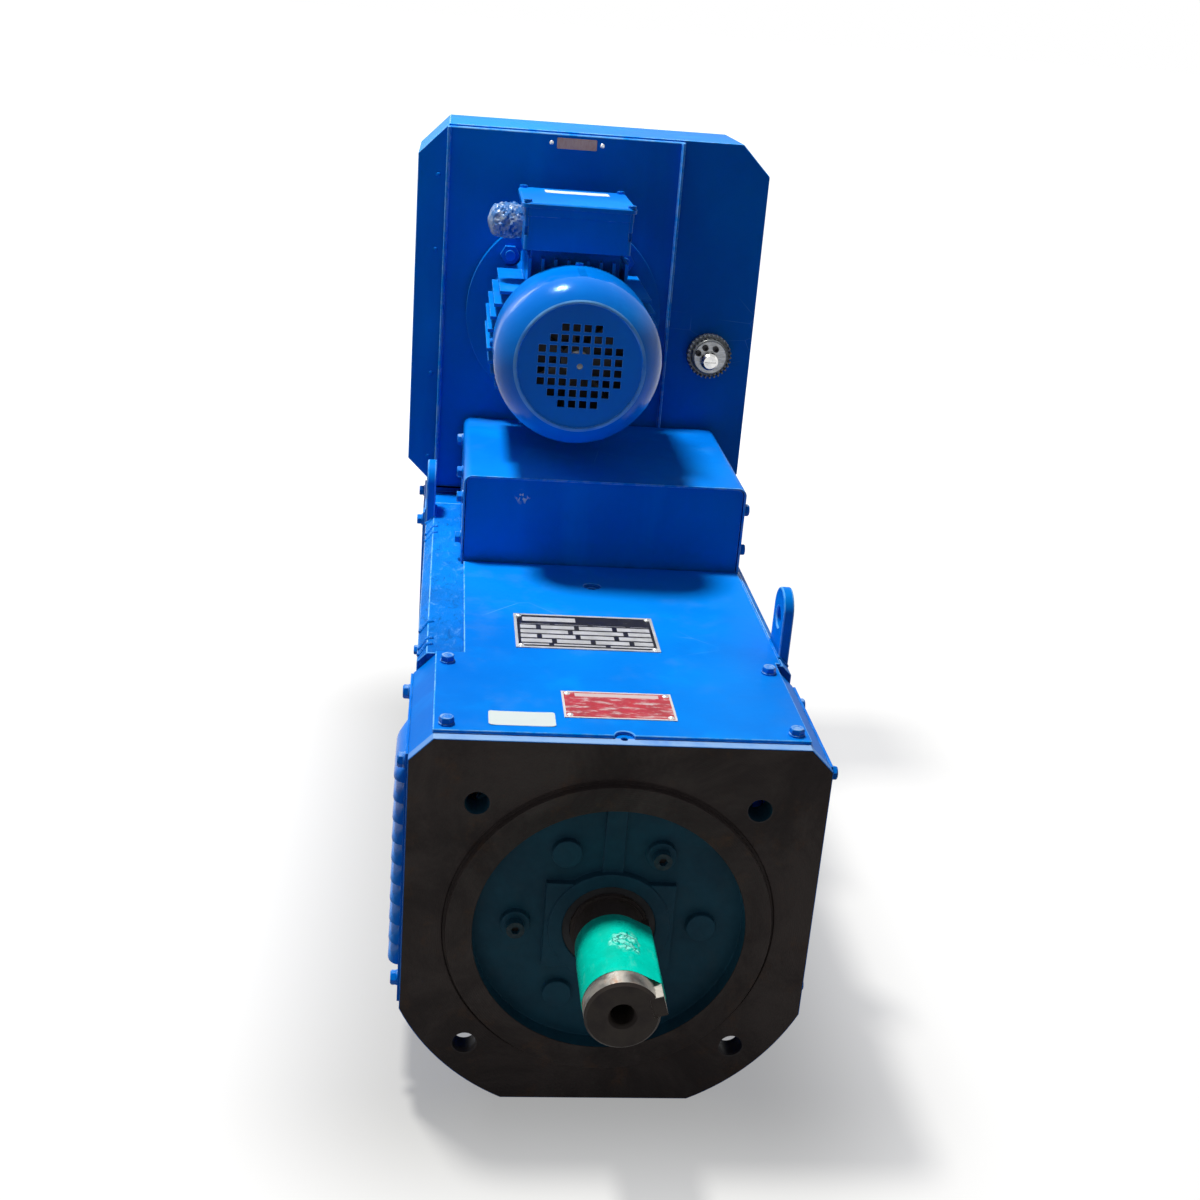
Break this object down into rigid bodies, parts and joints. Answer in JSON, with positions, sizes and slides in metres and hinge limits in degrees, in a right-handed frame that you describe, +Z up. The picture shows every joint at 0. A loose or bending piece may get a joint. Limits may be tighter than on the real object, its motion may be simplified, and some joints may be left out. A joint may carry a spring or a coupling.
{
  "type": "dc motor",
  "caption": "Square-frame DC motor with a keyed shaft, mounting flange, terminal box, lifting lugs and a blower standing over the commutator end.",
  "frame": {"origin": "centre of the drive-end flange face, on the shaft axis", "axes": "+X to the right seen from the shaft end, +Y from the flange to the rear, +Z up; the shaft end points along -Y"},
  "size_m": [0.356, 0.8519, 0.698],
  "materials": {
    "shield_casting": "blue enamel with a bare dark iron flange face",
    "blue_enamel": "glossy blue enamel",
    "shaft_steel": "turned steel with light rust bloom",
    "core_steel": "stacked electrical sheet",
    "bearing_steel": "polished bearing steel",
    "grey_iron": "as-cast grey iron",
    "copper": "copper, varnished on the windings",
    "insulation": "moulded insulation",
    "brass": "machined brass",
    "carbon": "electrographite",
    "seal_rubber": "black nitrile rubber",
    "fan_plastic": "black moulded plastic",
    "die_cast": "bare aluminium",
    "zinc_sheet": "galvanised sheet",
    "name_plate": "blank etched aluminium",
    "red_plate": "blank red enamelled plate",
    "gland_metal": "nickel gland under blue overspray",
    "switch_grey": "smoky grey plastic",
    "knob_chrome": "bright plated knob"
  },
  "bodies": {
    "stator": {"de_end_shield": "shield_casting", "stator_frame": "blue_enamel", "nde_end_shield": "blue_enamel", "top_cover": "blue_enamel", "louvre_covers": "blue_enamel", "inspection_covers": "blue_enamel", "lifting_lugs": "blue_enamel", "terminal_box_base": "blue_enamel", "terminal_box_lid": "blue_enamel", "cover_screws": "blue_enamel", "terminal_box_screws": "blue_enamel", "nde_bearing_cover": "blue_enamel", "blower_base_frame": "blue_enamel", "blower_casing_band": "blue_enamel", "blower_front_plate": "blue_enamel", "blower_mounting_panel": "blue_enamel", "blower_back_plate": "blue_enamel", "air_inlet_guard": "blue_enamel", "blower_motor_housing": "blue_enamel", "blower_motor_flange": "blue_enamel", "fan_cowl": "blue_enamel", "blower_terminal_box": "blue_enamel", "blower_terminal_lid": "blue_enamel", "bearing_cap_screws": "blue_enamel", "blower_fasteners": "blue_enamel", "field_poles": "core_steel", "blower_stator": "core_steel", "frame_tie_bolts": "core_steel", "bearing_outer_rings": "bearing_steel", "de_inner_bearing_cap": "grey_iron", "brush_rocker": "grey_iron", "field_coils": "copper", "terminal_board": "insulation", "terminal_studs": "brass", "brush_holders": "brass", "shaft_seal": "seal_rubber", "blower_rear_shield": "die_cast", "blower_scroll": "zinc_sheet", "switch_metalwork": "zinc_sheet", "plate_rivets": "zinc_sheet", "rating_plate": "name_plate", "service_plate": "red_plate", "cable_gland": "gland_metal", "switch_body": "switch_grey"},
    "rotor": {"main_shaft": "shaft_steel", "shaft_key": "shaft_steel", "armature_core": "core_steel", "armature_winding": "copper", "commutator": "copper", "commutator_hub": "insulation", "bearing_inner_rings": "bearing_steel"},
    "ball_set": {"bearing_balls": "bearing_steel"},
    "blower_wheel": {"blower_rotor": "die_cast", "impeller": "zinc_sheet", "cooling_fan": "fan_plastic"},
    "brush_arm_1": {"brush_1": "carbon"},
    "brush_arm_2": {"brush_2": "carbon"},
    "brush_arm_3": {"brush_3": "carbon"},
    "brush_arm_4": {"brush_4": "carbon"},
    "set_knob": {"switch_knob": "knob_chrome"}
  },
  "joints": [
    {"name": "shaft_spin", "type": "hinge", "parent": "stator", "child": "rotor", "pos_m": [0, 0, 0], "axis": [0, 1, 0], "continuous": true},
    {"name": "ball_roll", "type": "hinge", "parent": "stator", "child": "ball_set", "pos_m": [0, 0, 0], "axis": [0, 1, 0], "continuous": true},
    {"name": "blower_spin", "type": "hinge", "parent": "stator", "child": "blower_wheel", "pos_m": [-0.024, 0.5, 0.36], "axis": [0, 1, 0], "continuous": true},
    {"name": "brush_slide_1", "type": "slide", "parent": "stator", "child": "brush_arm_1", "axis": [0.7071, 0, 0.7071], "range_m": [0, 0.012], "stiffness_N_per_m": 200, "springref_m": -0.05},
    {"name": "brush_slide_2", "type": "slide", "parent": "stator", "child": "brush_arm_2", "axis": [-0.7071, 0, 0.7071], "range_m": [0, 0.012], "stiffness_N_per_m": 200, "springref_m": -0.05},
    {"name": "brush_slide_3", "type": "slide", "parent": "stator", "child": "brush_arm_3", "axis": [-0.7071, 0, -0.7071], "range_m": [0, 0.012], "stiffness_N_per_m": 200, "springref_m": -0.05},
    {"name": "brush_slide_4", "type": "slide", "parent": "stator", "child": "brush_arm_4", "axis": [0.7071, 0, -0.7071], "range_m": [0, 0.012], "stiffness_N_per_m": 200, "springref_m": -0.05},
    {"name": "knob_turn", "type": "hinge", "parent": "stator", "child": "set_knob", "pos_m": [0.1315, 0.575, 0.3216], "axis": [0, -1, 0], "range_deg": [0, 270]}
  ],
  "couplings": [
    {"joint": "ball_roll", "follows": "shaft_spin", "ratio": 0.382}
  ]
}
